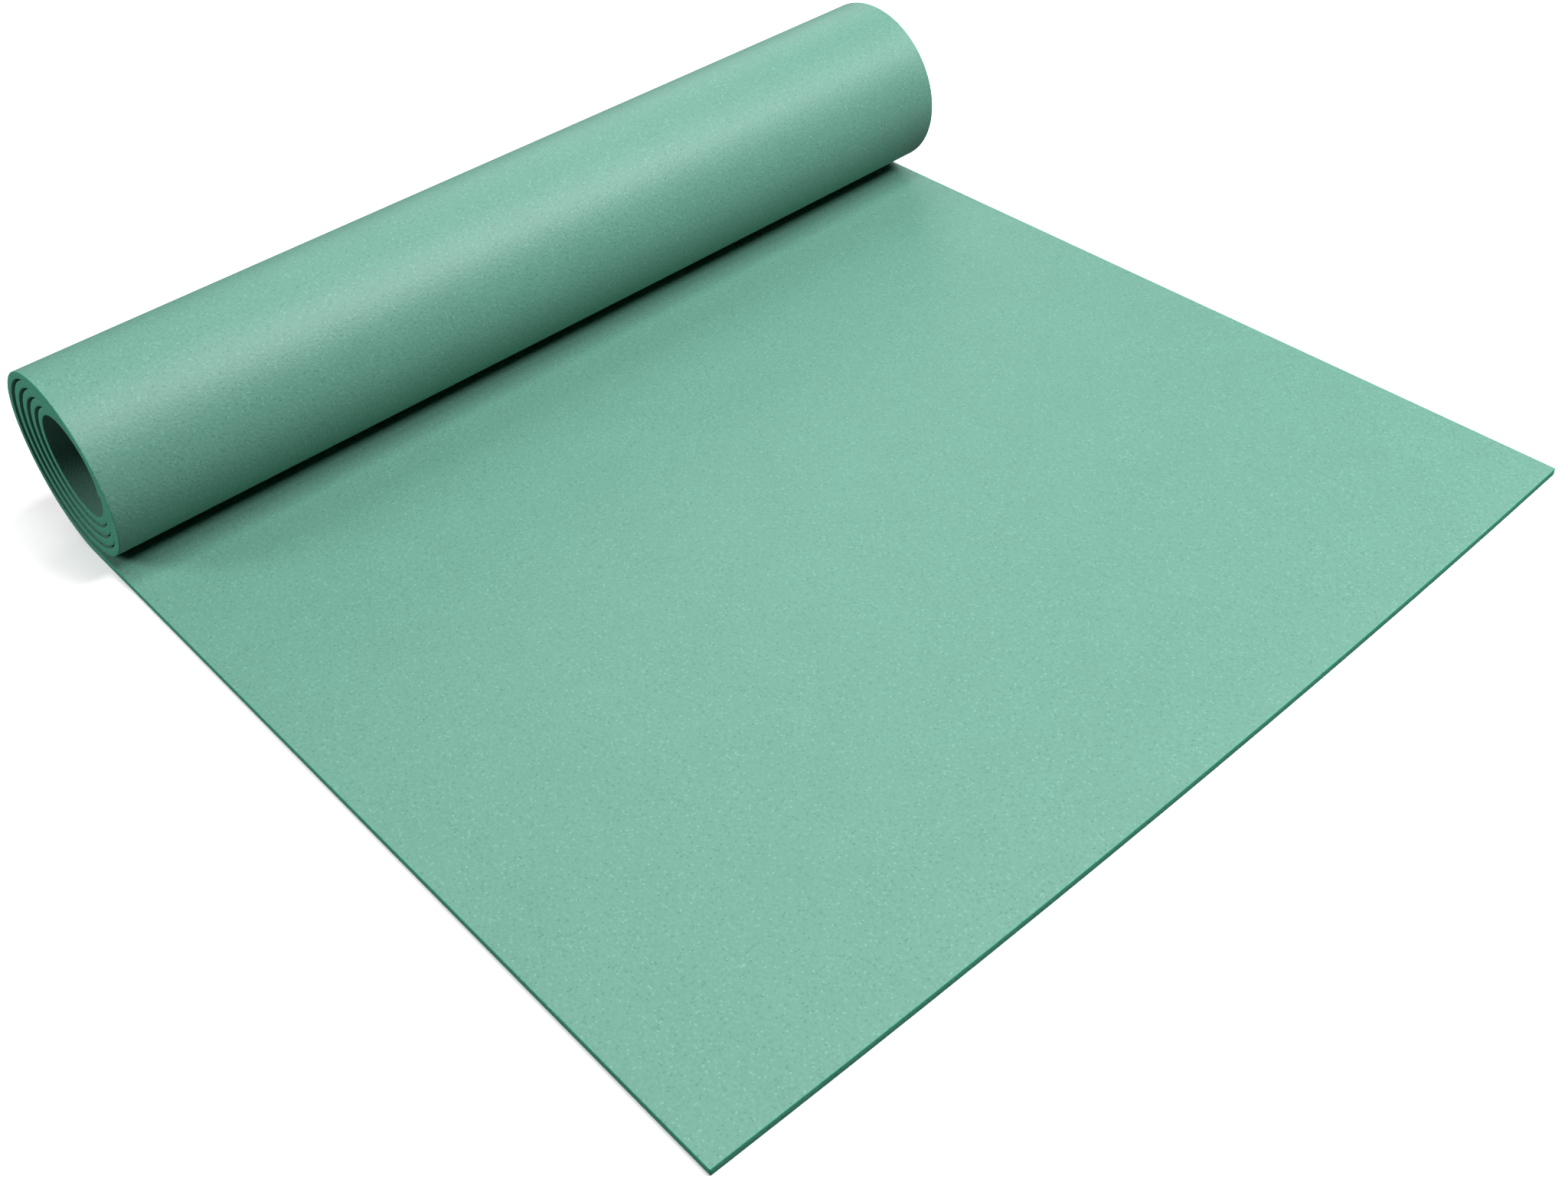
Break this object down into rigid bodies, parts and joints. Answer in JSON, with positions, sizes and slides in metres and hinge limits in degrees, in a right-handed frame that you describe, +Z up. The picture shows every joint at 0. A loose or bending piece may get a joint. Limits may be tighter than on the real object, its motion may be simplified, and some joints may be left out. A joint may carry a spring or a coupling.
{
  "type": "yoga mat",
  "caption": "Sea-green foam yoga mat, partly unrolled: a flat run with the rest wound in a hollow roll whose outer turns uncurl onto the floor",
  "frame": {"origin": "on the floor, under the middle of the partly unrolled mat", "axes": "+X along the flat run towards its free end, with the roll at -X; +Y across the mat, along the roll's axis; +Z up from the floor"},
  "size_m": [0.594, 0.6156, 0.1161],
  "materials": {
    "foam": "matte closed-cell foam"
  },
  "bodies": {
    "flat_run": {"flat_run": "foam"},
    "roll_strip_01": {"roll_strip_01": "foam"},
    "roll_strip_02": {"roll_strip_02": "foam"},
    "roll_strip_03": {"roll_strip_03": "foam"},
    "roll_strip_04": {"roll_strip_04": "foam"},
    "roll_strip_05": {"roll_strip_05": "foam"},
    "roll_strip_06": {"roll_strip_06": "foam"},
    "roll_strip_07": {"roll_strip_07": "foam"},
    "roll_strip_08": {"roll_strip_08": "foam"},
    "roll_strip_09": {"roll_strip_09": "foam"},
    "roll_strip_10": {"roll_strip_10": "foam"},
    "roll_strip_11": {"roll_strip_11": "foam"},
    "roll_strip_12": {"roll_strip_12": "foam"},
    "roll_strip_13": {"roll_strip_13": "foam"},
    "roll_strip_14": {"roll_strip_14": "foam"},
    "roll_strip_15": {"roll_strip_15": "foam"},
    "roll_strip_16": {"roll_strip_16": "foam"},
    "roll_strip_17": {"roll_strip_17": "foam"},
    "roll_strip_18": {"roll_strip_18": "foam"},
    "roll_strip_19": {"roll_strip_19": "foam"},
    "roll_strip_20": {"roll_strip_20": "foam"},
    "coil": {"coil": "foam"}
  },
  "joints": [
    {"name": "bend_01", "type": "hinge", "parent": "flat_run", "child": "roll_strip_01", "pos_m": [-0.23802, -0.00276, 0.00225], "axis": [0, -1, 0], "range_deg": [0, 10.11]},
    {"name": "bend_02", "type": "hinge", "parent": "roll_strip_01", "child": "roll_strip_02", "pos_m": [-0.26391, -0.00267, 0.00846], "axis": [0, -1, 0], "range_deg": [0, 30.39]},
    {"name": "bend_03", "type": "hinge", "parent": "roll_strip_02", "child": "roll_strip_03", "pos_m": [-0.28401, -0.00259, 0.02561], "axis": [0, -1, 0], "range_deg": [0, 27]},
    {"name": "bend_04", "type": "hinge", "parent": "roll_strip_03", "child": "roll_strip_04", "pos_m": [-0.29405, -0.0025, 0.04983], "axis": [0, -1, 0], "range_deg": [0, 27]},
    {"name": "bend_05", "type": "hinge", "parent": "roll_strip_04", "child": "roll_strip_05", "pos_m": [-0.29201, -0.00242, 0.07576], "axis": [0, -1, 0], "range_deg": [0, 27]},
    {"name": "bend_06", "type": "hinge", "parent": "roll_strip_05", "child": "roll_strip_06", "pos_m": [-0.27854, -0.00233, 0.09777], "axis": [0, -1, 0], "range_deg": [0, 27]},
    {"name": "bend_07", "type": "hinge", "parent": "roll_strip_06", "child": "roll_strip_07", "pos_m": [-0.25671, -0.00224, 0.11116], "axis": [0, -1, 0], "range_deg": [0, 27]},
    {"name": "bend_08", "type": "hinge", "parent": "roll_strip_07", "child": "roll_strip_08", "pos_m": [-0.23139, -0.00216, 0.11316], "axis": [0, -1, 0], "range_deg": [0, 27]},
    {"name": "bend_09", "type": "hinge", "parent": "roll_strip_08", "child": "roll_strip_09", "pos_m": [-0.20811, -0.00207, 0.10352], "axis": [0, -1, 0], "range_deg": [0, 27]},
    {"name": "bend_10", "type": "hinge", "parent": "roll_strip_09", "child": "roll_strip_10", "pos_m": [-0.19188, -0.00198, 0.08453], "axis": [0, -1, 0], "range_deg": [0, 27]},
    {"name": "bend_11", "type": "hinge", "parent": "roll_strip_10", "child": "roll_strip_11", "pos_m": [-0.18608, -0.0019, 0.06043], "axis": [0, -1, 0], "range_deg": [0, 27]},
    {"name": "bend_12", "type": "hinge", "parent": "roll_strip_11", "child": "roll_strip_12", "pos_m": [-0.19181, -0.00181, 0.03653], "axis": [0, -1, 0], "range_deg": [0, 27]},
    {"name": "bend_13", "type": "hinge", "parent": "roll_strip_12", "child": "roll_strip_13", "pos_m": [-0.20764, -0.00172, 0.01799], "axis": [0, -1, 0], "range_deg": [0, 27]},
    {"name": "bend_14", "type": "hinge", "parent": "roll_strip_13", "child": "roll_strip_14", "pos_m": [-0.22996, -0.00164, 0.00873], "axis": [0, -1, 0], "range_deg": [0, 27]},
    {"name": "bend_15", "type": "hinge", "parent": "roll_strip_14", "child": "roll_strip_15", "pos_m": [-0.25385, -0.00155, 0.01061], "axis": [0, -1, 0], "range_deg": [0, 27]},
    {"name": "bend_16", "type": "hinge", "parent": "roll_strip_15", "child": "roll_strip_16", "pos_m": [-0.27412, -0.00147, 0.02301], "axis": [0, -1, 0], "range_deg": [0, 27]},
    {"name": "bend_17", "type": "hinge", "parent": "roll_strip_16", "child": "roll_strip_17", "pos_m": [-0.28643, -0.00138, 0.04309], "axis": [0, -1, 0], "range_deg": [0, 27]},
    {"name": "bend_18", "type": "hinge", "parent": "roll_strip_17", "child": "roll_strip_18", "pos_m": [-0.28827, -0.00129, 0.06637], "axis": [0, -1, 0], "range_deg": [0, 27]},
    {"name": "bend_19", "type": "hinge", "parent": "roll_strip_18", "child": "roll_strip_19", "pos_m": [-0.27942, -0.00121, 0.08776], "axis": [0, -1, 0], "range_deg": [0, 27]},
    {"name": "bend_20", "type": "hinge", "parent": "roll_strip_19", "child": "roll_strip_20", "pos_m": [-0.26198, -0.00112, 0.10266], "axis": [0, -1, 0], "range_deg": [0, 27]},
    {"name": "bend_21", "type": "hinge", "parent": "roll_strip_20", "child": "coil", "pos_m": [-0.23988, -0.00103, 0.10798], "axis": [0, -1, 0], "range_deg": [0, 13.5]}
  ],
  "couplings": [
    {"joint": "bend_01", "follows": "bend_02", "ratio": 0.33254},
    {"joint": "bend_03", "follows": "bend_02", "ratio": 0.88836},
    {"joint": "bend_04", "follows": "bend_02", "ratio": 0.88836},
    {"joint": "bend_05", "follows": "bend_02", "ratio": 0.88836},
    {"joint": "bend_06", "follows": "bend_02", "ratio": 0.88836},
    {"joint": "bend_07", "follows": "bend_02", "ratio": 0.88836},
    {"joint": "bend_08", "follows": "bend_02", "ratio": 0.88836},
    {"joint": "bend_09", "follows": "bend_02", "ratio": 0.88836},
    {"joint": "bend_10", "follows": "bend_02", "ratio": 0.88836},
    {"joint": "bend_11", "follows": "bend_02", "ratio": 0.88836},
    {"joint": "bend_12", "follows": "bend_02", "ratio": 0.88836},
    {"joint": "bend_13", "follows": "bend_02", "ratio": 0.88836},
    {"joint": "bend_14", "follows": "bend_02", "ratio": 0.88836},
    {"joint": "bend_15", "follows": "bend_02", "ratio": 0.88836},
    {"joint": "bend_16", "follows": "bend_02", "ratio": 0.88836},
    {"joint": "bend_17", "follows": "bend_02", "ratio": 0.88836},
    {"joint": "bend_18", "follows": "bend_02", "ratio": 0.88836},
    {"joint": "bend_19", "follows": "bend_02", "ratio": 0.88836},
    {"joint": "bend_20", "follows": "bend_02", "ratio": 0.88836},
    {"joint": "bend_21", "follows": "bend_02", "ratio": 0.44418}
  ]
}
